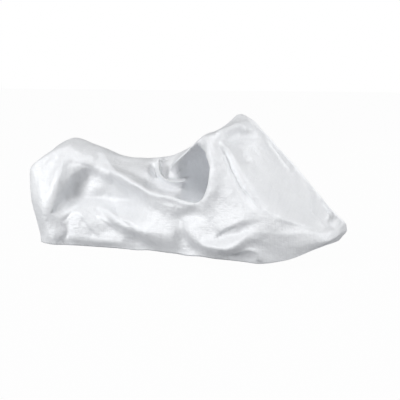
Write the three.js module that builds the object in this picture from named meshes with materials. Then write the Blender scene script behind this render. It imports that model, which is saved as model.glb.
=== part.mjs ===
// A fitted snowmobile cover: one sheet of silver cloth in the shape in which it lies, hollow and open below.
// Millimetres, +X towards the nose, +Y to the left, +Z up.
// The origin is under the top of the cover, at the seat hollow, where the cover is carried.
import * as THREE from "three";

// Driving sizes
const LENGTH = 2920; // tail to nose
const HALF_WIDTH = 550; // centre plane to the widest part of the skirt
const HEIGHT = 1200; // lowest hem to the front peak
const CLOTH = 2; // thickness of the sheet with its coating

// The origin's place under the ridge, in percent of LENGTH and HEIGHT
const ORIGIN = { at: 34.2, up: 65.6 };

const COLOURS = { silver: 0xd9dde0 };

// Turns rows of values into objects whose keys are the column names.
function table(columns, rows) {
  const keys = columns.trim().split(/\s+/);
  return rows.map((row) => Object.fromEntries(keys.map((key, i) => [key, row[i]])));
}

// Ribs of the right half, tail to nose: the line that the cloth takes from the ridge over the shoulder,
// the waist and the belt down to the hem. At is percent of LENGTH, Out of HALF_WIDTH and Up of HEIGHT.
// Steps divide the sheet from a rib to the next one, and soft is how round its shoulder is, from 0 to 1.
const RIB_COLUMNS = `name steps soft ridgeAt ridgeUp shoulderAt shoulderOut shoulderUp
  waistAt waistOut waistUp beltAt beltOut beltUp hemAt hemOut hemUp`;
const RIBS = table(RIB_COLUMNS, [
  ["tail", 3, 0.7, 2.7, 64.2, 0.3, 0, 59.2, 0, 0, 48, 0, 0, 35, 4.1, 0, 1.7],
  ["tail_corner", 3, 0.7, 3.4, 65.8, 0.3, 31, 58.7, 0, 35, 48, 0, 36, 35, 4.3, 33, 1.2],
  ["tail_side", 3, 0.5, 5.1, 69.2, 1.4, 49, 57.2, 1, 53, 46, 1.4, 54, 32.5, 5.5, 49, 0.8],
  ["rear_flank", 4, 0.4, 7.9, 75, 7.4, 45, 67, 7.2, 53, 46, 7.5, 57, 30.8, 9.6, 53, 0.5],
  ["back_peak", 5, 0.5, 11, 79.2, 13.2, 33, 73, 13.3, 50, 51, 13.7, 55.5, 32.5, 15, 56, 0],
  ["back_slope", 6, 0.8, 18.8, 74.2, 19.9, 37, 65, 20, 50, 48, 20.5, 58, 30.8, 22.3, 58, 0],
  ["seat", 6, 0.9, 34.2, 65.8, 33.6, 40, 58, 34, 57, 43.5, 34.2, 69, 27.5, 34.2, 66, 0.8],
  ["seat_front", 4, 0.6, 46.2, 68.3, 47.4, 45, 57.6, 46.5, 60, 45, 45.5, 72.7, 30.8, 45.2, 74, 2.1],
  ["pocket", 3, 0.3, 53.1, 76.2, 54.2, 54.5, 69.8, 53.8, 58, 51, 52.4, 74.5, 37, 53.1, 79, 2.5],
  ["bar_back", 2, 0.25, 58.2, 82.6, 59.4, 64, 79.8, 59.8, 45, 49, 57.7, 79.5, 39, 58, 82, 2.8],
  ["bar", 2, 0.25, 61.6, 87, 62.4, 70, 85.4, 63, 54, 50, 61.2, 84, 39, 61.6, 83.6, 2.9],
  ["bar_front", 3, 0.45, 65, 94, 65.4, 75, 84.4, 65, 80, 60, 64.5, 87, 37, 65, 85.5, 3.1],
  ["screen", 4, 0.7, 67.8, 100, 69.5, 73, 77, 68.8, 86, 56, 68.5, 89, 35, 68.5, 87.3, 3.3],
  ["cowl", 4, 0.65, 75.3, 88.3, 74.8, 83.6, 59.4, 75.3, 92, 45, 76, 94.5, 30.8, 76, 91, 3.3],
  ["knee", 4, 0.6, 81.5, 74.2, 81.9, 91, 40.5, 82, 95, 33, 82.2, 95.5, 24, 82.2, 91, 3.3],
  ["nose_flank", 3, 0.8, 88.4, 55.8, 90.4, 70, 30.8, 90.5, 75, 25, 90.4, 76.4, 18.3, 89.7, 74.5, 7.1],
  ["nose_corner", 3, 0.9, 93.8, 40.8, 96.9, 47.3, 23.3, 97.2, 49, 20.6, 97.3, 49.5, 17.8, 95.2, 52.7, 13.8],
  ["nose", 0, 0.9, 96.9, 33.3, 99.7, 0, 27.5, 100, 0, 24.6, 100, 0, 21.7, 98.3, 0, 14.6],
]);

// Steps of the sheet from each level of the ribs up to the next, and how round the other corners are
const LEVEL_STEPS = { hem: 8, belt: 4, waist: 5, shoulder: 6 };
const ROUND = { belt: 0.9, waist: 0.8, ridge: 0.55 };
const LEVELS = Object.keys(LEVEL_STEPS);
const STEPS_UP = Object.values(LEVEL_STEPS).reduce((sum, steps) => sum + steps, 0);
const STEPS_ALONG = RIBS.reduce((sum, rib) => sum + rib.steps, 0);

// Folds of the cloth. Each row's line is drawn through four places in one view: side views give At and Up,
// the top view At and Out, the tail view Out and Up. Left and right are the widths in mm of the fold's flanks
// on either hand of the line, and depth in mm is how far it stands out, or sinks in where it is negative.
const FOLD_COLUMNS = "name view a1 b1 a2 b2 a3 b3 a4 b4 left right depth";
const FOLDS = table(FOLD_COLUMNS, [
  ["pocket", "right", 62, 80, 61.5, 68, 60.5, 56, 58.5, 44, 60, 110, -44],
  ["pocket_rim", "right", 63.7, 84, 65.8, 71, 65.4, 58, 59.5, 38.5, 100, 45, 36],
  ["curl", "right", 46.5, 69, 42.5, 63.5, 45.5, 56.5, 57, 53, 42, 45, 40],
  ["curl_hollow", "right", 50, 71, 46.5, 65.5, 47.5, 61, 53, 59, 42, 42, -44],
  ["seat_sag", "right", 21, 69, 33, 58.5, 44, 51, 58, 47, 65, 55, -46],
  ["swag", "right", 24, 64, 35, 51.5, 46.5, 43.5, 62, 38, 48, 85, 50],
  ["swag_under", "right", 26, 58, 31, 49, 36, 42, 42, 33, 60, 48, -34],
  ["chine_step", "right", 67, 17, 70.5, 25, 74.6, 29.5, 82, 36, 75, 42, 26],
  ["chine_crease", "right", 67.5, 12, 71.5, 20, 75, 23.5, 82, 30, 42, 60, -30],
  ["flank_crease", "right", 52, 22.5, 56.5, 29.5, 60, 32.5, 66, 33.5, 42, 60, -26],
  ["skirt_trough", "right", 56.4, 28, 57.2, 15, 60, 8.5, 67, 3, 45, 42, -36],
  ["skirt_swag", "right", 59, 18, 67.5, 11.5, 76.4, 17, 85, 25, 42, 55, 30],
  ["skirt_pleat", "right", 71, 7.5, 77.5, 12, 80.4, 10.5, 80.8, 0, 40, 40, 18],
  ["rear_ridge", "right", 10, 16, 12, 36, 13, 53, 12.6, 76, 66, 46, 42],
  ["rear_recess", "right", 11.5, 20, 15, 39, 19, 51, 25, 62, 54, 80, -68],
  ["rear_crease", "right", 18.5, 35, 15.9, 21, 15, 12, 14, 0, 42, 42, -26],
  ["drape_one", "right", 18.5, 34, 24, 24.5, 29, 17, 36, 6, 42, 42, -20],
  ["drape_two", "right", 23, 37, 31, 26.5, 42, 15.5, 55, 5, 120, 60, 40],
  ["low_sag", "right", 20, 7, 28, 12, 38, 9, 48, 3, 45, 45, -22],
  ["screen_edge", "top", 63, -70, 67.5, -58, 70.5, -34, 72.5, -4, 50, 55, 22],
  ["bar_dip", "top", 67, -44, 71, -46, 75, -47, 80, -46, 60, 60, -22],
  ["hood_crease", "top", 82, -14, 86, -15, 90, -18, 94, -22, 40, 40, -10],
  ["nose_dimple", "top", 93.5, 4, 95, 0, 96, -4, 97, -9, 36, 36, -16],
  ["far_pocket", "left", 61.5, 79, 60.5, 67, 59, 55, 57.5, 44, 55, 105, -30],
  ["far_pocket_rim", "left", 63.5, 84, 66, 70, 66, 56, 61, 40, 95, 45, 28],
  ["far_tuck", "left", 43, 66, 46, 60.5, 50, 57, 58, 56, 42, 42, -26],
  ["far_seat_sag", "left", 20, 69, 31, 60, 42, 52, 55, 48, 75, 60, -30],
  ["far_swag", "left", 24, 62, 34, 51, 45, 45, 58, 41, 50, 95, 34],
  ["far_fold_one", "left", 29, 42, 35, 31, 40, 18, 43, 0, 60, 45, 30],
  ["far_trough_one", "left", 33.5, 42, 39.5, 28, 44.5, 15, 47.5, 0, 45, 55, -32],
  ["far_fold_two", "left", 47, 36, 52, 27, 57, 15, 59, 0, 65, 45, 26],
  ["far_trough_two", "left", 53, 38, 59, 28, 63, 16, 65, 0, 45, 55, -28],
  ["far_skirt_swag", "left", 62, 17, 70, 11, 78, 15, 88, 25, 42, 55, 28],
  ["far_chine_crease", "left", 69, 15, 74, 23, 78, 28, 86, 35, 42, 60, -26],
  ["far_rear_ridge", "left", 9, 14, 11, 34, 12.5, 52, 12.5, 74, 62, 42, 38],
  ["far_rear_recess", "left", 12, 24, 15.5, 38, 19, 50, 25, 60, 45, 70, -60],
  ["far_drape", "left", 17.5, 41, 24, 28, 29, 16, 33, 0, 65, 42, 30],
  ["far_hood_dip", "top", 67, 40, 73, 44, 79, 42, 86, 36, 55, 60, -16],
  ["back_dent", "top", 3, 10, 7, 3, 11, -4, 16, -8, 44, 44, -12],
  ["seat_wave", "top", 21, -18, 28, 4, 35, 14, 43, 10, 60, 60, -16],
  ["tail_trough", "tail", -26, 57, -20, 42, -22, 24, -27, 5, 36, 42, -26],
  ["tail_fold", "tail", 9, 58, 4, 44, 10, 26, 6, 5, 44, 34, 22],
  ["tail_tuck", "tail", 32, 55, 24, 40, 18, 24, 20, 6, 36, 38, -24],
  ["tail_sag", "tail", -34, 22, -12, 12, 10, 14, 34, 24, 40, 46, -18],
]);

// How finely a fold's line is divided, the share of it over which each end runs out,
// and the distance in mm from the centre plane over which a side's folds come up
const FOLD_SAMPLES = 24;
const END_FADE = 0.3;
const CENTRE_FADE = 90;

// How far a face is turned to the top or the tail when it starts to take those folds and takes them whole
const TOP_FACING = { start: 0.1, whole: 0.45 };
const TAIL_FACING = { start: 0.2, whole: 0.7 };

// Moves a round's control point so that the middle of the round lies on its corner
const ROUND_SHIFT = -0.25;

const smooth = THREE.MathUtils.smoothstep;
const flatten = (across, up) => new THREE.Vector3(across, up, 0);
const mirrored = (p) => new THREE.Vector3(p.x, -p.y, p.z);

// A point of the cover, from percentages of the driving sizes.
function place(at, out, up) {
  return new THREE.Vector3(
    ((at - ORIGIN.at) * LENGTH) / 100,
    (out * HALF_WIDTH) / 100,
    ((up - ORIGIN.up) * HEIGHT) / 100,
  );
}

// A closed line round the cover at one level of the ribs: forward on the right side, back on the left.
function levelLoop(level) {
  const right = RIBS.map((rib) => place(rib[level + "At"], -rib[level + "Out"], rib[level + "Up"]));
  const left = right.slice(1, -1).reverse().map(mirrored);
  return new THREE.CatmullRomCurve3([...right, ...left], true, "centripetal");
}

const levelLoops = LEVELS.map(levelLoop);
const ridge = new THREE.CatmullRomCurve3(RIBS.map((rib) => place(rib.ridgeAt, 0, rib.ridgeUp)));

// The right half of the rib's line at a share of the way from tail to nose, as corners to round off.
function ribCorners(share) {
  const [hem, belt, waist, shoulder] = levelLoops.map((loop) => loop.getPoint(share / 2));
  const position = share * (RIBS.length - 1);
  const rib = Math.min(Math.floor(position), RIBS.length - 2);
  const soft = THREE.MathUtils.lerp(RIBS[rib].soft, RIBS[rib + 1].soft, position - rib);
  return [
    { point: hem, round: 0 },
    { point: belt, round: ROUND.belt },
    { point: waist, round: ROUND.waist },
    { point: shoulder, round: soft },
    { point: ridge.getPoint(share), round: ROUND.ridge },
    { point: mirrored(shoulder), round: 0 },
  ];
}

// The round of a corner: it passes through the corner itself and reaches equally far to either hand.
function cornerRound(corners, k) {
  const { point, round } = corners[k];
  if (round === 0) return { reach: 0, curve: new THREE.QuadraticBezierCurve3(point, point, point) };
  const before = corners[k - 1].point.clone().sub(point);
  const after = corners[k + 1].point.clone().sub(point);
  const reach = (round * Math.min(before.length(), after.length())) / 2;
  before.setLength(reach);
  after.setLength(reach);
  const control = point.clone().addScaledVector(before.clone().add(after), ROUND_SHIFT);
  const from = control.clone().add(before);
  const to = control.clone().add(after);
  return { reach, curve: new THREE.QuadraticBezierCurve3(from, control, to) };
}

// A point between two corners: on the first round, on the straight stretch or on the second round.
function ribPoint(corners, k, t) {
  const first = cornerRound(corners, k);
  const second = cornerRound(corners, k + 1);
  const length = corners[k].point.distanceTo(corners[k + 1].point);
  const along = t * length;
  const toSecond = length - along;
  if (along < first.reach) return first.curve.getPoint(0.5 + (0.5 * along) / first.reach);
  if (toSecond < second.reach) return second.curve.getPoint(0.5 - (0.5 * toSecond) / second.reach);
  const share = (along - first.reach) / (length - first.reach - second.reach);
  return first.curve.v2.clone().lerp(second.curve.v0, share);
}

// The points of one rib from hem to ridge.
function ribPoints(share) {
  const corners = ribCorners(share);
  const points = LEVELS.flatMap((level, k) => {
    const steps = LEVEL_STEPS[level];
    return Array.from({ length: steps }, (_, j) => ribPoint(corners, k, j / steps));
  });
  return [...points, cornerRound(corners, LEVELS.length).curve.getPoint(0.5)];
}

// The sheet's outer face as rings of points from the hem up, and the points of the ridge that closes them.
function sheetPoints() {
  const shares = RIBS.flatMap((rib, i) =>
    Array.from({ length: rib.steps }, (_, k) => (i + k / rib.steps) / (RIBS.length - 1)),
  );
  const halves = [...shares, 1].map(ribPoints);
  const rings = [];
  for (let j = 0; j < STEPS_UP; j++) {
    const right = halves.map((half) => half[j]);
    const left = right.slice(1, -1).reverse().map(mirrored);
    rings.push([...right, ...left]);
  }
  const top = halves.slice(1, -1).map((half) => half[STEPS_UP]);
  return { rings, top };
}

// The triangles of the outer face. Ring points run clockwise seen from above, so faces point out.
function sheetTriangles() {
  const around = 2 * STEPS_ALONG;
  const last = STEPS_UP - 1;
  const ringPoint = (j, i) => j * around + ((i + around) % around);
  const topPoint = (i) => STEPS_UP * around + i - 1;
  const triangles = [];
  const quad = (a, b, c, d) => triangles.push(a, b, c, a, c, d);
  for (let j = 0; j < last; j++)
    for (let i = 0; i < around; i++)
      quad(ringPoint(j, i), ringPoint(j, i + 1), ringPoint(j + 1, i + 1), ringPoint(j + 1, i));
  for (let i = 1; i < STEPS_ALONG - 1; i++) {
    quad(ringPoint(last, i), ringPoint(last, i + 1), topPoint(i + 1), topPoint(i));
    quad(ringPoint(last, -i - 1), ringPoint(last, -i), topPoint(i), topPoint(i + 1));
  }
  const nose = STEPS_ALONG;
  quad(ringPoint(last, -1), ringPoint(last, 0), ringPoint(last, 1), topPoint(1));
  quad(ringPoint(last, nose - 1), ringPoint(last, nose), ringPoint(last, nose + 1), topPoint(nose - 1));
  return triangles;
}

// Normals of a skin that its triangles give, one for each point.
function skinNormals(points, triangles) {
  const skin = new THREE.BufferGeometry().setFromPoints(points).setIndex(triangles);
  skin.computeVertexNormals();
  const normals = skin.getAttribute("normal");
  return points.map((_, i) => new THREE.Vector3().fromBufferAttribute(normals, i));
}

// The views: a drawn place as a point of the cover, a point as it lies in the view, and its share of a fold.
const VIEWS = {
  right: {
    draw: (at, up) => place(at, 0, up),
    flat: (p) => flatten(p.x, p.z),
    share: (p) => smooth(-p.y, 0, CENTRE_FADE),
  },
  left: {
    draw: (at, up) => place(at, 0, up),
    flat: (p) => flatten(p.x, p.z),
    share: (p) => smooth(p.y, 0, CENTRE_FADE),
  },
  top: {
    draw: (at, out) => place(at, out, 0),
    flat: (p) => flatten(p.x, p.y),
    share: (p, normal) => smooth(normal.z, TOP_FACING.start, TOP_FACING.whole),
  },
  tail: {
    draw: (out, up) => place(0, out, up),
    flat: (p) => flatten(p.y, p.z),
    share: (p, normal) => smooth(-normal.x, TAIL_FACING.start, TAIL_FACING.whole),
  },
};

// A fold's line as short straight stretches of its view.
function foldLine(fold) {
  const view = VIEWS[fold.view];
  const places = [1, 2, 3, 4].map((k) => view.flat(view.draw(fold["a" + k], fold["b" + k])));
  const points = new THREE.CatmullRomCurve3(places).getPoints(FOLD_SAMPLES);
  return points.slice(1).map((end, k) => new THREE.Line3(points[k], end));
}

// How far a fold lifts a spot of its view: most on its line, less on its flanks, nothing past its ends.
function foldLift(fold, line, spot) {
  const nearest = { distance: Infinity };
  line.forEach((stretch, k) => {
    const along = stretch.closestPointToPointParameter(spot, true);
    const distance = stretch.at(along, new THREE.Vector3()).distanceTo(spot);
    const share = (k + along) / line.length;
    if (distance < nearest.distance) Object.assign(nearest, { distance, stretch, share });
  });
  const way = nearest.stretch.delta(new THREE.Vector3());
  const leftHand = way.cross(spot.clone().sub(nearest.stretch.start)).z > 0;
  const flank = leftHand ? fold.left : fold.right;
  const ends = smooth(nearest.share, 0, END_FADE) * smooth(1 - nearest.share, 0, END_FADE);
  return fold.depth * ends * Math.exp(-((nearest.distance / flank) ** 2));
}

// The outer face's points moved out or in by all the folds.
function foldPoints(points, triangles) {
  const normals = skinNormals(points, triangles);
  const lines = FOLDS.map(foldLine);
  return points.map((p, i) => {
    const lifts = FOLDS.map((fold, k) => {
      const view = VIEWS[fold.view];
      const share = view.share(p, normals[i]);
      return share > 0 ? share * foldLift(fold, lines[k], view.flat(p)) : 0;
    });
    const lift = lifts.reduce((sum, value) => sum + value, 0);
    return p.clone().addScaledVector(normals[i], lift);
  });
}

// The closed sheet: the outer face, the same face set in by the cloth's thickness, and the edge of the hem.
function coverGeometry() {
  const { rings, top } = sheetPoints();
  const triangles = sheetTriangles();
  const outer = foldPoints([...rings.flat(), ...top], triangles);
  const normals = skinNormals(outer, triangles);
  const inner = outer.map((p, i) => p.clone().addScaledVector(normals[i], -CLOTH));
  const count = outer.length;
  const around = rings[0].length;
  const closed = [...triangles];
  for (let i = 0; i < triangles.length; i += 3)
    closed.push(count + triangles[i], count + triangles[i + 2], count + triangles[i + 1]);
  for (let i = 0; i < around; i++) {
    const next = (i + 1) % around;
    closed.push(i, count + i, next, next, count + i, count + next);
  }
  return new THREE.BufferGeometry().setFromPoints([...outer, ...inner]).setIndex(closed);
}

const cloth = new THREE.MeshStandardMaterial({ color: COLOURS.silver, roughness: 0.45, metalness: 0.2 });
const cover = new THREE.Mesh(coverGeometry(), cloth);
cover.name = "cover";

const snowmobileCover = new THREE.Group();
snowmobileCover.add(cover);

export default snowmobileCover;
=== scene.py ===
# %% [markdown]
# # A draped snowmobile cover
# The cover is one sheet of silver-coated cloth that hangs from a few high places. This lesson takes the
# plain solid of the frame, keeps its outer face, and works the finer folds into it until it looks like
# cloth. The frame comes first: every piece is made in its metres, with +X towards the nose and +Z up.

# %% The frame
import math

import bmesh
import bpy
import numpy as np
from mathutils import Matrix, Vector, geometry, noise


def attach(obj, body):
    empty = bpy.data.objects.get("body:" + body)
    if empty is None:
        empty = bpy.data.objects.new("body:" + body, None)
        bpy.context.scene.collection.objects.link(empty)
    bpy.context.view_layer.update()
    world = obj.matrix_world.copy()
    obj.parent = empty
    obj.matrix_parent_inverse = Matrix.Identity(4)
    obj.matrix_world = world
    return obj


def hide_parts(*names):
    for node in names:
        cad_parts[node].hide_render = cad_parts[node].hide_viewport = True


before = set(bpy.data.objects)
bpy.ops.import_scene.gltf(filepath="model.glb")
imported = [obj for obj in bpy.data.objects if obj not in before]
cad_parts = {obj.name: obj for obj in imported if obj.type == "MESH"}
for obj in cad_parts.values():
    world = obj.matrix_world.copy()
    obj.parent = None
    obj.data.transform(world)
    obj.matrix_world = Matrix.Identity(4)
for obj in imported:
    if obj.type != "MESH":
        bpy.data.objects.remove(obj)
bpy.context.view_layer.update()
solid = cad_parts["cover"]
print("solid", solid.name, len(solid.data.polygons), "triangles")

# %% [markdown]
# ## The camera
# The picture is taken from the right and a little ahead, from about eye height, with a long lens, so
# that the cover fills the frame and its upright edges stay nearly upright. The camera could be moved
# about in the viewport until it fits. Here it is placed by its angles and its distance from the spot that
# it looks at.

# %% The camera
LOOK_AT = Vector((0.6214, 0.0, -0.3472))
AZIMUTH, ELEVATION = math.radians(25), math.radians(8)
DISTANCE = 8.0
LENS_MM = 82.8


def direction(azimuth, elevation):
    """The way from the cover to something that stands at these angles."""
    level = math.cos(elevation)
    return Vector((math.sin(azimuth) * level, -math.cos(azimuth) * level, math.sin(elevation)))


def aim(thing, target):
    """Turns a camera or a lamp to a spot."""
    thing.rotation_euler = (target - thing.location).to_track_quat("-Z", "Y").to_euler()


camera = bpy.data.objects.new("camera", bpy.data.cameras.new("camera"))
camera.data.lens = LENS_MM
camera.location = LOOK_AT + DISTANCE * direction(AZIMUTH, ELEVATION)
aim(camera, LOOK_AT)
bpy.context.scene.collection.objects.link(camera)
bpy.context.scene.camera = camera
print("camera at", [round(v, 3) for v in camera.location])

# %% [markdown]
# ## The outer face of the sheet
# The solid is a closed shell: an outer face, an inner face and the narrow edge of the hem between them.
# The cloth only needs the outer face, because a Solidify modifier gives the thickness back at the end.
# The face could be picked by hand. Here a walk starts at the highest triangle and goes on over every edge
# that isn't sharp, so that it stops at the hem by itself. The triangles are then paired into quads, which
# subdivide more evenly.

# %% The outer face
SAME_PLACE = 1e-5
SHARP = math.radians(65)


def outer_face(mesh):
    """A bmesh with the outer face alone of a closed sheet."""
    bm = bmesh.new()
    bm.from_mesh(mesh)
    bmesh.ops.remove_doubles(bm, verts=bm.verts, dist=SAME_PLACE)
    start = max(bm.faces, key=lambda face: face.calc_center_median().z)
    if start.normal.z < 0:
        start = next(f for e in start.edges for f in e.link_faces if f.normal.z > 0)
    reached, edge_of_walk = {start}, [start]
    while edge_of_walk:
        face = edge_of_walk.pop()
        for edge in face.edges:
            for other in edge.link_faces:
                if other not in reached and edge.calc_face_angle(math.pi) < SHARP:
                    reached.add(other)
                    edge_of_walk.append(other)
    bmesh.ops.delete(bm, geom=[f for f in bm.faces if f not in reached], context="FACES")
    bmesh.ops.join_triangles(
        bm, faces=bm.faces, angle_face_threshold=math.pi, angle_shape_threshold=math.pi
    )
    return bm


face_bm = outer_face(solid.data)
quads = sum(len(f.verts) == 4 for f in face_bm.faces)
print("outer face", len(face_bm.faces), "faces,", quads, "of them quads")

# %% [markdown]
# ## Finer cloth
# Creases of a few centimetres need a finer mesh than the solid has. Two rounds of Subdivision Surface
# divide each quad into sixteen and round off its corners. The modifier is applied at once, because the
# creases that follow move the new points.

# %% Finer cloth
ROUNDS = 2

cover_mesh = bpy.data.meshes.new("cover_cloth")
face_bm.to_mesh(cover_mesh)
face_bm.free()
cover = bpy.data.objects.new("cover_cloth", cover_mesh)
bpy.context.scene.collection.objects.link(cover)
divide = cover.modifiers.new("divide", "SUBSURF")
divide.levels = divide.render_levels = ROUNDS
bpy.context.view_layer.update()
finer = bpy.data.meshes.new_from_object(cover.evaluated_get(bpy.context.evaluated_depsgraph_get()))
cover.modifiers.clear()
cover.data = finer
bpy.data.meshes.remove(cover_mesh)
finer.name = "cover_cloth"
print("finer cloth", len(finer.vertices), "points,", len(finer.polygons), "quads")

# %% [markdown]
# ## Folds
# Cloth that is drawn tight between a few high places lies nearly flat from one fold to the next. It could
# be sculpted. Here each main fold is drawn as a line through places that say how far the cloth
# stands out there or sinks in, and all of them stay in one table that is easy to correct. The right side
# comes first: the tight edge that runs down to the seat, the curl at its foot, the deep pocket behind the
# knee of the hood, the long swag under the seat, and the ridge and the recess at the back.

# %% Folds of the right side
# Each row: name, then places along the fold: x and z in m, and how far the cloth stands out in mm
FOLDS = [
    ("brow", (-0.95, -0.1, 0), (-0.8, 0.0, 0), (-0.62, 0.11, 0), (-0.47, 0.08, 0), (-0.3, 0.03, 6)),
    ("tail_edge", (-0.975, -0.12, -4), (-0.96, -0.3, -18), (-0.93, -0.45, -14), (-0.88, -0.6, -4),
     (-0.84, -0.74, 10)),
    ("rear_corner", (-0.85, -0.16, 30), (-0.8, -0.29, 58), (-0.76, -0.41, 76), (-0.74, -0.54, 80),
     (-0.72, -0.67, 70)),
    ("rear_ridge", (-0.6, 0.01, 0), (-0.6, -0.12, 20), (-0.625, -0.24, 40), (-0.65, -0.37, 52),
     (-0.68, -0.5, 58)),
    ("blob", (-0.73, -0.71, 66), (-0.66, -0.71, 76), (-0.6, -0.7, 62)),
    ("rear_valley", (-0.5, -0.47, 10), (-0.56, -0.56, 22), (-0.545, -0.65, 18), (-0.56, -0.73, 14)),
    ("recess_foot", (-0.39, -0.02, -12), (-0.45, -0.14, -18), (-0.53, -0.27, -26), (-0.61, -0.39, -14),
     (-0.66, -0.49, 26)),
    ("rear_side", (-0.3, 0.0, -24), (-0.27, -0.1, -72), (-0.36, -0.21, -104)),
    ("waist", (-0.56, -0.4, -50), (-0.52, -0.355, -96), (-0.39, -0.31, -160), (-0.21, -0.29, -204),
     (-0.04, -0.3, -192), (0.15, -0.35, -110), (0.34, -0.395, -36)),
    ("band_crest", (-0.47, -0.47, -20), (-0.28, -0.52, -44), (-0.09, -0.55, -56), (0.13, -0.57, -46),
     (0.35, -0.59, -14), (0.53, -0.62, 2)),
    ("fan_foot", (-0.49, -0.725, 8), (-0.37, -0.725, -6), (-0.21, -0.73, -30), (-0.08, -0.71, -50),
     (0.02, -0.69, -60)),
    ("swag", (-0.29, 0.015, 4), (-0.13, -0.09, 14), (0.0, -0.14, 28), (0.085, -0.175, 32),
     (0.25, -0.23, 28), (0.35, -0.26, 28), (0.46, -0.275, 30), (0.58, -0.29, 34), (0.74, -0.31, 26)),
    ("swag_under", (-0.18, -0.1, -36), (-0.07, -0.175, -52), (0.05, -0.22, -54), (0.19, -0.26, -44),
     (0.33, -0.3, -14), (0.57, -0.315, 0), (0.67, -0.335, 6)),
    ("seat_bank", (0.16, -0.015, 0), (0.18, -0.05, 2), (0.215, -0.105, 6), (0.22, -0.17, 8)),
    ("seat_hollow", (0.21, 0.0, -20), (0.22, -0.03, -94), (0.245, -0.065, -122), (0.33, -0.15, -74),
     (0.47, -0.19, -48), (0.6, -0.19, -46)),
    ("curl", (0.27, 0.005, 0), (0.32, -0.06, 14), (0.385, -0.11, 18), (0.445, -0.145, 18),
     (0.52, -0.16, 16), (0.605, -0.155, 4)),
    ("curl_inside", (0.29, 0.01, -26), (0.3, -0.025, -40), (0.335, -0.06, -38), (0.37, -0.09, -46),
     (0.42, -0.115, -62), (0.495, -0.13, -84), (0.57, -0.135, -104)),
    ("tension_edge", (0.805, 0.225, 0), (0.715, 0.145, 10), (0.615, 0.055, 18), (0.52, -0.025, 18),
     (0.44, -0.065, -6), (0.37, -0.09, -46)),
    ("tension_under", (0.76, 0.135, -50), (0.715, 0.095, -54), (0.625, 0.02, -60), (0.535, -0.045, -60),
     (0.46, -0.08, -60)),
    ("pocket_lip", (0.66, -0.13, -130), (0.675, -0.165, -145), (0.67, -0.21, -130)),
    ("pocket_deep", (0.765, 0.11, -110), (0.765, 0.045, -180), (0.755, -0.085, -240),
     (0.74, -0.16, -240), (0.715, -0.21, -190), (0.69, -0.23, -140), (0.66, -0.245, -90)),
    ("pocket_rim", (0.795, 0.165, 4), (0.825, 0.105, 4), (0.92, 0.04, 6), (0.935, -0.05, 6),
     (0.915, -0.16, 6), (0.86, -0.265, 8), (0.785, -0.325, 14)),
    ("rim_crest", (0.905, 0.155, 16), (0.95, 0.1, 20), (0.98, 0.03, 22), (0.995, -0.045, 22),
     (0.98, -0.165, 22), (0.92, -0.28, 22)),
    ("flank_top", (1.04, 0.07, 6), (1.07, -0.04, 6), (1.045, -0.165, 6), (0.975, -0.295, 6)),
    ("flank_valley", (0.545, -0.49, -10), (0.59, -0.445, -20), (0.675, -0.415, -24), (0.795, -0.39, -22),
     (0.915, -0.39, -8)),
    ("skirt_trough", (0.625, -0.54, -20), (0.645, -0.63, -38), (0.71, -0.7, -38), (0.86, -0.735, -18)),
    ("skirt_bulge", (0.715, -0.54, 14), (0.795, -0.605, 26), (0.845, -0.625, 26)),
    ("low_swag", (0.92, -0.635, 38), (1.01, -0.64, 50), (1.115, -0.65, 54), (1.19, -0.625, 48),
     (1.245, -0.575, 40), (1.295, -0.525, 34), (1.355, -0.49, 22), (1.47, -0.495, 6)),
    ("low_shade", (1.1, -0.705, -6), (1.215, -0.675, -6), (1.31, -0.595, -4), (1.405, -0.55, 0)),
    ("hood_left", (0.94, 0.165, 8), (1.01, 0.07, 8), (1.095, -0.065, 8), (1.215, -0.23, 6),
     (1.355, -0.36, 2)),
    ("hood_valley", (0.94, 0.215, -6), (1.015, 0.145, -26), (1.12, -0.025, -34), (1.245, -0.195, -30),
     (1.395, -0.32, -10)),
    ("hood_right", (1.0, 0.185, 8), (1.07, 0.115, 14), (1.18, -0.035, 15), (1.305, -0.18, 14),
     (1.425, -0.29, 6)),
    ("peak_edge", (0.91, 0.255, 6), (0.975, 0.26, 30), (1.035, 0.295, 44), (1.105, 0.335, 22)),
    ("peak_hollow", (0.935, 0.295, -20), (0.975, 0.37, -30)),
    ("peak_under", (0.995, 0.21, -6), (1.055, 0.25, -30), (1.125, 0.225, -24)),
    ("peak_facet", (1.175, 0.275, 28), (1.22, 0.205, 22)),
    ("nose_hollow", (1.715, -0.275, -4), (1.765, -0.335, -16), (1.81, -0.385, -28), (1.84, -0.46, -12)),
    ("nose_round", (1.84, -0.405, 30), (1.87, -0.455, 38), (1.885, -0.495, 18)),
    ("chine_fill", (1.035, -0.585, 20), (1.135, -0.52, 30), (1.25, -0.475, 28), (1.365, -0.44, 16)),
    ("chine_top", (0.99, -0.525, 0), (1.095, -0.445, 0), (1.22, -0.385, 2), (1.355, -0.36, 2)),
    ("hem", (-0.78, -0.78, 56), (-0.66, -0.785, 60), (-0.55, -0.787, -14), (-0.3, -0.787, -62),
     (0.0, -0.778, -92), (0.2, -0.769, -92), (0.4, -0.761, -76), (0.6, -0.757, -52), (0.8, -0.752, -26),
     (1.0, -0.748, -10)),
]
print(len(FOLDS), "folds on the right side")

# %% [markdown]
# ## The far side
# The left side hangs from the same high places, so that its folds are of the same kind. They could be
# mirrored, but no two sides of a hung cloth agree. They are drawn anew, fewer and softer.

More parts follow.
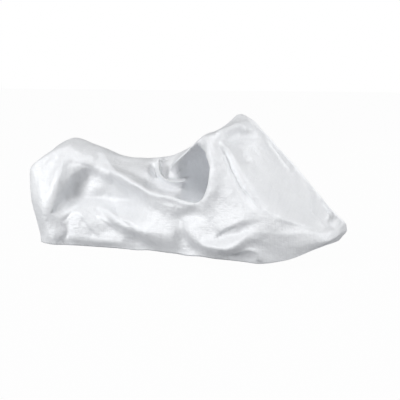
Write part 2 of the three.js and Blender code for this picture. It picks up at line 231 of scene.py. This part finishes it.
# %% Folds of the left side
# Rows as on the right side
LEFT_FOLDS = [
    ("left_brow", (-0.9, -0.08, 0), (-0.62, 0.1, 0), (-0.3, 0.03, 4)),
    ("left_ridge", (-0.6, -0.02, 8), (-0.64, -0.25, 30), (-0.69, -0.5, 42), (-0.7, -0.72, 44)),
    ("left_recess", (-0.42, -0.08, -26), (-0.47, -0.24, -50), (-0.57, -0.4, -34)),
    ("left_waist", (-0.5, -0.4, -40), (-0.25, -0.34, -84), (0.0, -0.35, -90), (0.22, -0.4, -56)),
    ("left_band", (-0.42, -0.5, -6), (-0.2, -0.57, -22), (0.1, -0.6, -18), (0.45, -0.63, 8)),
    ("left_swag", (-0.25, 0.0, 6), (0.0, -0.13, 24), (0.3, -0.24, 28), (0.6, -0.3, 28),
     (0.85, -0.29, 18)),
    ("left_swag_under", (-0.14, -0.12, -28), (0.06, -0.22, -44), (0.3, -0.31, -24), (0.6, -0.37, -6)),
    ("left_seat", (0.1, -0.02, 4), (0.24, -0.1, -34), (0.42, -0.19, -40), (0.58, -0.2, -30)),
    ("left_edge", (0.4, -0.05, 16), (0.56, 0.06, 18), (0.74, 0.18, 8)),
    ("left_pocket", (0.52, -0.1, -40), (0.66, -0.02, -76), (0.74, 0.08, -60)),
    ("left_rim", (0.84, 0.14, 14), (0.92, 0.0, 20), (0.9, -0.16, 20)),
    ("left_flank", (0.68, -0.44, -20), (0.86, -0.41, -30), (1.02, -0.36, -14)),
    ("left_hood", (0.98, 0.16, -8), (1.11, -0.03, -22), (1.25, -0.2, -20), (1.4, -0.33, -6)),
    ("left_skirt", (0.68, -0.58, 12), (0.94, -0.64, 22), (1.2, -0.6, 22), (1.42, -0.5, 6)),
    ("left_trough", (0.62, -0.64, -18), (0.78, -0.71, -26), (1.0, -0.73, -14)),
    ("left_hem", (-0.7, -0.785, 24), (-0.45, -0.787, -10), (-0.1, -0.782, -40), (0.25, -0.766, -54),
     (0.6, -0.757, -34), (0.95, -0.749, -6)),
]
print(len(LEFT_FOLDS), "folds on the left side")

# %% [markdown]
# ## A net between the folds
# Tight cloth is flat from one fold to the next, so that a net of triangles between all the lines gives
# every spot its share. A smooth surface through the lines would round off what the pull of the cloth
# keeps straight.

# %% A net between the folds
# Straight stretches from one place of a line to the next, and the corners round all the lines
STRETCHES = 8
AROUND = [(-1.4, 0.8, 0), (2.3, 0.8, 0), (2.3, -1.2, 0), (-1.4, -1.2, 0)]


def line_through(places):
    """A soft line through the places, as short straight stretches."""
    held = np.array([2 * places[0] - places[1], *places, 2 * places[-1] - places[-2]])
    points = []
    for k in range(len(places) - 1):
        a, b, c, d = held[k : k + 4]
        for t in np.linspace(0, 1, STRETCHES, endpoint=False):
            bend = (2 * a - 5 * b + 4 * c - d) * t**2 + (3 * b - a - 3 * c + d) * t**3
            points.append(b + ((c - a) * t + bend) / 2)
    return np.array([*points, places[-1]])


def net_between(folds):
    """Triangles between all the fold lines, each as three corners with how far they stand out."""
    corners, edges = list(AROUND), []
    for _, *places in folds:
        line = line_through(np.array(places))
        edges += [(len(corners) + k, len(corners) + k + 1) for k in range(len(line) - 1)]
        corners += [tuple(place) for place in line]
    flat = [Vector(corner[:2]) for corner in corners]
    spots, _, triangles, sources, *_ = geometry.delaunay_2d_cdt(flat, edges, [], 0, SAME_PLACE, True)
    heights = [corners[source[0]][2] if source else 0.0 for source in sources]
    return [np.array([(*spots[k], heights[k]) for k in triangle]) for triangle in triangles]


def height_in(net, flat):
    """How far the cloth stands out at each spot of the side view."""
    height = np.zeros(len(flat))
    for first, second, third in net:
        way, other, gap = second[:2] - first[:2], third[:2] - first[:2], flat - first[:2]
        double_area = way[0] * other[1] - way[1] * other[0]
        to_second = (gap[:, 0] * other[1] - gap[:, 1] * other[0]) / double_area
        to_third = (way[0] * gap[:, 1] - way[1] * gap[:, 0]) / double_area
        inside = (to_second >= 0) & (to_third >= 0) & (to_second + to_third <= 1)
        rise = first[2] + to_second * (second[2] - first[2]) + to_third * (third[2] - first[2])
        height = np.where(inside, rise, height)
    return height


net, left_net = net_between(FOLDS), net_between(LEFT_FOLDS)
print("nets of", len(net), "and", len(left_net), "triangles")

# %% [markdown]
# ## Crisp folds
# Where the cloth is pulled hardest its edge is sharper than the mesh is fine. The whole mesh could be
# divided again, at four times the points. Here only the cloth next to the crisp folds is, and the points
# beside each of their lines are drawn onto it, so that the edge follows the line and doesn't cross it in
# steps.

# %% Crisp folds
CRISP = {"tension_edge", "tension_under", "curl", "curl_inside", "pocket_rim", "rear_ridge"}
# How near a crisp line, in m, the cloth is divided again and its points are drawn in
REFINED, REACH = 0.026, 0.0034
# How far a face is turned to the side where that is done
FACING_SIDE = 0.25


def read_points(mesh):
    """Points and normals of a mesh as two tables."""
    points, normals = np.zeros(len(mesh.vertices) * 3), np.zeros(len(mesh.vertices) * 3)
    mesh.vertices.foreach_get("co", points)
    mesh.vertices.foreach_get("normal", normals)
    return points.reshape(-1, 3), normals.reshape(-1, 3)


def nearest_on(line, flat):
    """How far each spot is from a line, and the nearest place on it."""
    nearest, foot = np.full(len(flat), np.inf), np.zeros_like(flat)
    for start, end in zip(line[:-1], line[1:]):
        way = end - start
        along = np.clip((flat - start) @ way / (way @ way), 0, 1)
        place = start + along[:, None] * way
        distance = np.linalg.norm(flat - place, axis=1)
        foot = np.where((distance < nearest)[:, None], place, foot)
        nearest = np.minimum(nearest, distance)
    return nearest, foot


def flat_lines(names):
    """The lines of the right side's folds with these names, in the side view."""
    return [line_through(np.array(places))[:, :2] for name, *places in FOLDS if name in names]


def distance_to(lines, flat):
    """How far each spot is from the nearest of the lines."""
    return np.min([nearest_on(line, flat)[0] for line in lines], axis=0)


def refine(mesh, lines):
    """Divides the mesh once more next to the lines."""
    points, normals = read_points(mesh)
    near = (distance_to(lines, points[:, (0, 2)]) < REFINED) & (normals[:, 1] < -FACING_SIDE)
    bm = bmesh.new()
    bm.from_mesh(mesh)
    edges = [edge for edge in bm.edges if all(near[vert.index] for vert in edge.verts)]
    bmesh.ops.subdivide_edges(bm, edges=edges, cuts=1, use_grid_fill=True)
    bm.to_mesh(mesh)
    bm.free()


def drawn_to(lines, points, normals):
    """The points, those beside a line moved along the cloth onto it."""
    slope = normals[:, (0, 2)] / np.minimum(normals[:, 1], -FACING_SIDE)[:, None]
    for line in lines:
        distance, foot = nearest_on(line, points[:, (0, 2)])
        near = (distance < REACH) & (normals[:, 1] < -FACING_SIDE)
        shift = np.where(near[:, None], foot - points[:, (0, 2)], 0)
        points[:, (0, 2)] += shift
        points[:, 1] -= (shift * slope).sum(axis=1)
    return points


crisp_lines = flat_lines(CRISP)
refine(finer, crisp_lines)
points, normals = read_points(finer)
points = drawn_to(crisp_lines, points, normals)
print("refined cloth", len(finer.vertices), "points,", len(finer.polygons), "faces")

# %% [markdown]
# ## The cloth takes its folds
# Each point moves by the height of the net, the way that the cloth faces there. The facing is calmed
# first, so that neighbours move side by side even into a deep pocket. Then the edges of the net are
# softened: hardly at all next to the crisp and firm folds, and a good deal away from them, where slack
# cloth rolls from one face to the next.

# %% The cloth takes its folds
MM = 0.001
FIRM = {
    "swag", "low_swag", "seat_hollow", "hood_valley", "hood_right", "peak_edge", "peak_facet", "nose_round",
}
# How far a face is turned to a side when it starts to take that side's folds and takes them whole
SIDE_FROM = (0.02, 0.3)
# How far from a crisp or firm fold, in m, the cloth starts to be soft and is soft altogether
SOFT_FROM = (0.025, 0.07)
CRISP_ROUNDS, SOFT_ROUNDS, CALM_ROUNDS = 1, 14, 60


def smooth_step(value, start, end):
    """0 up to start, 1 from end on, and a soft rise between them."""
    share = np.clip((value - start) / (end - start), 0, 1)
    return share * share * (3 - 2 * share)


def softened(values, mesh, rounds):
    """The values after each point has taken half of its neighbours' mean, as many rounds as asked."""
    ends = np.zeros(len(mesh.edges) * 2, int)
    mesh.edges.foreach_get("vertices", ends)
    start, end = ends.reshape(-1, 2).T
    neighbours = np.bincount(ends, minlength=len(values))
    for _ in range(rounds):
        total = np.bincount(start, values[end], len(values)) + np.bincount(end, values[start], len(values))
        values = (values + total / neighbours) / 2
    return values


def write_points(mesh, points):
    """Puts moved points back into the mesh."""
    mesh.vertices.foreach_set("co", points.ravel())
    mesh.update()


side_view = points[:, (0, 2)]
stand_out = height_in(net, side_view) * smooth_step(-normals[:, 1], *SIDE_FROM)
stand_out += height_in(left_net, side_view) * smooth_step(normals[:, 1], *SIDE_FROM)
outwards = np.column_stack([softened(normals[:, axis], finer, CALM_ROUNDS) for axis in range(3)])
outwards[:, 2] = np.maximum(outwards[:, 2], 0)
outwards /= np.linalg.norm(outwards, axis=1)[:, None]
away = smooth_step(distance_to(flat_lines(CRISP | FIRM), side_view), *SOFT_FROM)
crisp, soft = softened(stand_out, finer, CRISP_ROUNDS), softened(stand_out, finer, SOFT_ROUNDS)
points += outwards * (crisp + away * (soft - crisp))[:, None] * MM
write_points(finer, points)
print("folds from", round(stand_out.min()), "to", round(stand_out.max()), "mm")

# %% [markdown]
# ## Creases
# Between the folds run narrow ridges where the cloth is pulled tight and troughs where it is slack. They
# could be sculpted too. Here each one is placed as a line through four places, drawn in a view
# from the right, from above or from the tail. It lifts the cloth along its own normal, or lets it sink,
# most on the line and less to either hand. Different widths on the two hands make a crease lean, and its
# softness says how round its crest is: near 1 it is a sharp edge, at 2 it is round.

# %% Creases
# Each row: name, view, width on the left and right hand in mm, depth in mm, softness, four places in m
CREASES = [
    ("seat_tuck", "right", 16, 20, -8, 1.6, (-0.25, -0.02), (-0.175, -0.085), (-0.14, -0.165),
     (-0.13, -0.265)),
    ("rear_top_edge", "right", 16, 26, 10, 1.3, (-0.95, -0.1), (-0.83, -0.035), (-0.725, 0.04),
     (-0.59, 0.09)),
    ("rear_streak", "right", 12, 14, 11, 1.6, (-0.505, -0.11), (-0.545, -0.175), (-0.575, -0.25),
     (-0.61, -0.34)),
    ("rear_shade", "right", 14, 14, -8, 2, (-0.575, -0.06), (-0.51, -0.055), (-0.44, -0.065),
     (-0.375, -0.09)),
    ("rear_crease", "right", 12, 14, -11, 1.4, (-0.465, -0.425), (-0.52, -0.495), (-0.56, -0.55),
     (-0.6, -0.58)),
    ("rear_crease_low", "right", 12, 14, -10, 1.4, (-0.595, -0.58), (-0.55, -0.635), (-0.55, -0.69),
     (-0.58, -0.735)),
    ("drape_first", "right", 12, 18, -8, 1.4, (-0.415, -0.45), (-0.27, -0.515), (-0.135, -0.58),
     (-0.015, -0.655)),
    ("drape_second", "right", 12, 20, -9, 1.4, (-0.125, -0.41), (-0.04, -0.465), (0.045, -0.52),
     (0.175, -0.56)),
    ("fan_first", "right", 34, 18, 11, 1.4, (-0.48, -0.445), (-0.38, -0.525), (-0.29, -0.62),
     (-0.19, -0.705)),
    ("fan_second", "right", 40, 22, -12, 1.5, (-0.35, -0.42), (-0.22, -0.485), (-0.09, -0.56),
     (0.025, -0.645)),
    ("fan_third", "right", 40, 24, 10, 1.5, (-0.16, -0.39), (-0.025, -0.44), (0.105, -0.495),
     (0.225, -0.555)),
    ("chine_line", "right", 10, 11, -11, 1.3, (0.99, -0.585), (1.035, -0.545), (1.105, -0.5),
     (1.2, -0.47)),
    ("chine_lip", "right", 20, 11, 4, 1.4, (0.99, -0.565), (1.055, -0.51), (1.125, -0.47),
     (1.215, -0.425)),
    ("chine_soft", "right", 22, 30, -6, 2, (1.195, -0.465), (1.285, -0.44), (1.37, -0.415),
     (1.45, -0.39)),
    ("pleat_ridge", "right", 14, 16, 9, 1.6, (1.08, -0.69), (1.2, -0.665), (1.29, -0.64), (1.35, -0.64)),
    ("pleat_fall", "right", 22, 22, 10, 1.6, (1.315, -0.635), (1.355, -0.65), (1.37, -0.69),
     (1.37, -0.735)),
    ("hood_low_edge", "right", 30, 22, 12, 1.6, (1.47, -0.36), (1.58, -0.4), (1.695, -0.44),
     (1.82, -0.48)),
    ("peak_ridge", "right", 26, 12, 12, 1.4, (0.91, 0.26), (0.985, 0.29), (1.045, 0.32), (1.105, 0.335)),
    ("peak_shade", "right", 26, 34, -16, 2, (1.005, 0.205), (1.055, 0.22), (1.1, 0.25), (1.165, 0.25)),
    ("peak_crease", "right", 18, 30, -24, 1.5, (1.1, 0.175), (1.135, 0.13), (1.18, 0.075),
     (1.225, 0.03)),
    ("far_edge", "top", 34, 44, -28, 1.6, (1.26, -0.035), (1.36, -0.05), (1.44, -0.065), (1.495, -0.05)),
    ("hood_streak", "top", 20, 34, -26, 1.6, (1.495, -0.08), (1.535, -0.12), (1.565, -0.165),
     (1.605, -0.215)),
    ("hood_streak_low", "top", 20, 34, -26, 1.6, (1.62, 0.015), (1.66, -0.07), (1.685, -0.135),
     (1.72, -0.2)),
    ("nose_dimple", "top", 28, 24, -26, 1.8, (1.715, 0.0), (1.755, 0.005), (1.795, -0.02),
     (1.825, -0.095)),
    ("tail_swag", "tail", 60, 44, -14, 2, (-0.26, -0.26), (-0.1, -0.4), (0.08, -0.43), (0.25, -0.3)),
    ("tail_first", "tail", 44, 60, 14, 1.8, (-0.2, -0.22), (-0.13, -0.42), (-0.1, -0.6), (-0.14, -0.8)),
    ("tail_second", "tail", 60, 44, 12, 1.8, (0.2, -0.24), (0.12, -0.42), (0.14, -0.6), (0.07, -0.8)),
]

# The two axes of each view, and the axis and way that a face must look to be seen in it
VIEWS = {"right": ((0, 2), 1, -1), "top": ((0, 1), 2, 1), "tail": ((1, 2), 0, -1)}
# How far a face looks that way when it starts to take a crease and takes it whole
SEEN_FROM = (0.0, 0.2)
# The share of a crease over which each end runs out
RUN_OUT = 0.22


def crease_lift(flat, places, left, right, softness):
    """The share of a crease's depth at each spot of the view: 1 on the line, 0 far off and past its ends."""
    line = line_through(np.array(places))
    nearest = np.full(len(flat), np.inf)
    signed, share = np.zeros(len(flat)), np.zeros(len(flat))
    for k, (start, end) in enumerate(zip(line[:-1], line[1:])):
        way, gap = end - start, flat - start
        along = np.clip(gap @ way / (way @ way), 0, 1)
        distance = np.linalg.norm(gap - along[:, None] * way, axis=1)
        closer = distance < nearest
        hand = np.sign(way[0] * gap[:, 1] - way[1] * gap[:, 0])
        nearest = np.where(closer, distance, nearest)
        signed = np.where(closer, distance * hand, signed)
        share = np.where(closer, (k + along) / (len(line) - 1), share)
    width = np.where(signed > 0, left, right) * MM
    ends = smooth_step(share, 0, RUN_OUT) * smooth_step(1 - share, 0, RUN_OUT)
    return ends * np.exp(-((nearest / width) ** softness))


def crease(mesh, creases):
    """Works all the creases into the cloth."""
    points, normals = read_points(mesh)
    lift = np.zeros(len(points))
    for _, view, left, right, depth, softness, *places in creases:
        axes, facing_axis, way = VIEWS[view]
        facing = smooth_step(normals[:, facing_axis] * way, *SEEN_FROM)
        lift += depth * MM * facing * crease_lift(points[:, axes], places, left, right, softness)
    write_points(mesh, points + normals * lift[:, None])
    return lift


lift = crease(finer, CREASES)
print(len(CREASES), "creases, from", round(lift.min() / MM, 1), "to", round(lift.max() / MM, 1), "mm")

# %% [markdown]
# ## Unevenness
# No stretch of hung cloth is perfectly smooth. Two sizes of soft noise push the cloth in and out by a few
# millimetres, which is enough to break up the sheen. A Displace modifier could do this too. Moving the
# points in code keeps the noise fixed in the cover's own metres.

# %% Unevenness
# Each row: waves per metre, height in mm
UNEVEN = [(5.0, 5.0), (13.0, 2.0)]


def roughen(mesh, sizes):
    """Pushes the cloth in and out along its normals by soft noise."""
    points, normals = read_points(mesh)
    spots = [Vector(point) for point in points]
    for waves, height in sizes:
        push = np.array([noise.noise(spot * waves) for spot in spots]) * height * MM
        points += normals * push[:, None]
    write_points(mesh, points)


roughen(finer, UNEVEN)
finer.polygons.foreach_set("use_smooth", [True] * len(finer.polygons))
print("uneven by up to", sum(height for _, height in UNEVEN), "mm")

# %% [markdown]
# ## Thickness
# The sheet is thin but not paper. The solid's inner face could have been kept and folded too. Solidify
# does less work: it thickens the sheet inwards, so that the outer face stays where the creases put it,
# and closes the edge along the hem.

# %% Thickness
CLOTH = 0.0016

thicken = cover.modifiers.new("thicken", "SOLIDIFY")
thicken.thickness = CLOTH
thicken.offset = -1
thicken.use_rim = True
print("cloth", CLOTH / MM, "mm thick")

# %% [markdown]
# ## Silver cloth
# The cloth is a tight polyester weave with a silver coating: pale, a little metallic, with a satin sheen
# that shows every fold. Threads of uneven thickness give it short streaks along and around the cover, and
# being packed away has left it finely crumpled. All of this is worked out from the cover's own
# coordinates, with a small class that turns arithmetic on sockets into Math nodes.


# %% A finish from nodes
class Strand:
    """A socket of a finish. Arithmetic on it adds Math nodes."""

    def __init__(self, finish, socket):
        self.finish, self.socket = finish, socket

    def math(self, operation, first, second):
        return self.finish.node("ShaderNodeMath", {"operation": operation}, {0: first, 1: second})

    def __add__(self, other):
        return self.math("ADD", self, other)

    def __radd__(self, other):
        return self.math("ADD", other, self)

    def __mul__(self, other):
        return self.math("MULTIPLY", self, other)

    def __rmul__(self, other):
        return self.math("MULTIPLY", other, self)


class Finish:
    """A material with one shader, and one method that adds any other node to it."""

    def __init__(self, name):
        self.material = bpy.data.materials.new(name)
        self.material.use_nodes = True
        self.tree = self.material.node_tree
        self.shader = self.tree.nodes["Principled BSDF"]

    def plug(self, socket, value):
        if isinstance(value, Strand):
            self.tree.links.new(value.socket, socket)
        else:
            socket.default_value = value

    def node(self, kind, settings, sockets, output=0):
        made = self.tree.nodes.new(kind)
        for key, value in settings.items():
            setattr(made, key, value)
        for key, value in sockets.items():
            self.plug(made.inputs[key], value)
        return Strand(self, made.outputs[output])

    def set(self, **sockets):
        for key, value in sockets.items():
            self.plug(self.shader.inputs[key.replace("_", " ")], value)


# %% Silver cloth
# Each noise: waves per metre along x, y and z, and how fine its detail is
THREADS_ALONG, THREADS_AROUND = ((7, 95, 95), 3), ((95, 7, 7), 3)
MOTTLE, CRUMPLE = ((4, 4, 4), 4), ((16, 16, 16), 5)
PALE, DEEP = (0.87, 0.88, 0.895, 1), (0.68, 0.695, 0.72, 1)
THREAD_TINT, MOTTLE_TINT = 0.6, 0.5
THREAD_RELIEF, CRUMPLE_RELIEF = 0.3, 0.7
RELIEF_STRENGTH, RELIEF_DEPTH = 0.6, 0.022
SATIN, SATIN_SPREAD = 0.5, 0.12
COATING = 0.15

silver = Finish("silver_taffeta")
place = silver.node("ShaderNodeTexCoord", {}, {}, "Object")


def streaks(waves, detail):
    """Noise that is drawn out along the axes with few waves."""
    spot = silver.node("ShaderNodeMapping", {}, {"Vector": place, "Scale": waves})
    return silver.node("ShaderNodeTexNoise", {}, {"Vector": spot, "Scale": 1.0, "Detail": detail})


threads = (streaks(*THREADS_ALONG) + streaks(*THREADS_AROUND)) * 0.5
mottle, crumple = streaks(*MOTTLE), streaks(*CRUMPLE)
tint = silver.node(
    "ShaderNodeMix",
    {"data_type": "RGBA"},
    {"Factor": threads * THREAD_TINT + mottle * MOTTLE_TINT, "A": DEEP, "B": PALE},
    "Result",
)
height = threads * THREAD_RELIEF + crumple * CRUMPLE_RELIEF
relief = silver.node(
    "ShaderNodeBump", {}, {"Strength": RELIEF_STRENGTH, "Distance": RELIEF_DEPTH, "Height": height}
)
silver.set(Base_Color=tint, Roughness=SATIN + mottle * SATIN_SPREAD, Metallic=COATING, Normal=relief)
cover.data.materials.clear()
cover.data.materials.append(silver.material)
print("silver cloth with", len(silver.tree.nodes), "nodes")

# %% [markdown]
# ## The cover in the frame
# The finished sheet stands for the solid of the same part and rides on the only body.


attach(cover, "root")
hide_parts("cover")

# %% [markdown]
# ## The studio
# The cover stands on a plain pale floor in soft light. A large softbox on the left whitens the faces that
# look at it, a weaker one on the right reaches into the hollows, one overhead lights the tops, and one
# behind lights the far side. The floor could be white paper, but then so much light would come back from
# it that the faces that look down would lose their shade. So it is white to the camera alone, and grey to
# the light.

# %% The floor
FLOOR_SIZE = 60.0
FLOOR_GREY, FLOOR_ROUGHNESS = (0.3, 0.305, 0.315, 1), 0.9
PAPER_WHITE = 0.98

lowest = min(v.co.z for v in finer.vertices)
floor_bm = bmesh.new()
bmesh.ops.create_grid(floor_bm, x_segments=2, y_segments=2, size=FLOOR_SIZE)
bmesh.ops.translate(floor_bm, verts=floor_bm.verts, vec=(0, 0, lowest - CLOTH))
floor_mesh = bpy.data.meshes.new("floor")
floor_bm.to_mesh(floor_mesh)
floor_bm.free()
floor = bpy.data.objects.new("floor", floor_mesh)
bpy.context.scene.collection.objects.link(floor)
floor_finish = Finish("pale_floor")
floor_finish.set(Base_Color=FLOOR_GREY, Roughness=FLOOR_ROUGHNESS)
seen = floor_finish.node("ShaderNodeLightPath", {}, {}, "Is Camera Ray")
glow = floor_finish.node("ShaderNodeEmission", {}, {"Strength": 1.0})
matt = Strand(floor_finish, floor_finish.shader.outputs["BSDF"])
paper = floor_finish.node("ShaderNodeMixShader", {}, {0: seen * PAPER_WHITE, 1: matt, 2: glow})
floor_finish.plug(floor_finish.tree.nodes["Material Output"].inputs["Surface"], paper)
floor_mesh.materials.append(floor_finish.material)
print("floor at", round(lowest, 4))

# %% The lights
# Each row: name, azimuth and elevation in degrees, distance and width in m, power in W
SOFTBOXES = [
    ("left_softbox", -41, 12, 14.0, 5.0, 1200),
    ("right_softbox", 82, 14, 12.0, 4.5, 690),
    ("top_softbox", 12, 62, 12.0, 4.0, 600),
    ("back_softbox", 165, 24, 14.0, 5.0, 420),
]
ROOM_LIGHT = 0.18

for name, azimuth, elevation, distance, width, power in SOFTBOXES:
    lamp = bpy.data.objects.new(name, bpy.data.lights.new(name, "AREA"))
    lamp.data.size = width
    lamp.data.energy = power
    lamp.location = LOOK_AT + distance * direction(math.radians(azimuth), math.radians(elevation))
    aim(lamp, LOOK_AT)
    bpy.context.scene.collection.objects.link(lamp)
room = bpy.data.worlds.new("room")
room.use_nodes = True
air = room.node_tree.nodes["Background"]
air.inputs["Color"].default_value = (1, 1, 1, 1)
ray = room.node_tree.nodes.new("ShaderNodeLightPath")
level = room.node_tree.nodes.new("ShaderNodeMapRange")
level.inputs["To Min"].default_value = ROOM_LIGHT
room.node_tree.links.new(ray.outputs["Is Camera Ray"], level.inputs["Value"])
room.node_tree.links.new(level.outputs["Result"], air.inputs["Strength"])
bpy.context.scene.world = room
bpy.context.scene.view_settings.view_transform = "Standard"
print(len(SOFTBOXES), "softboxes and a room light of", ROOM_LIGHT)
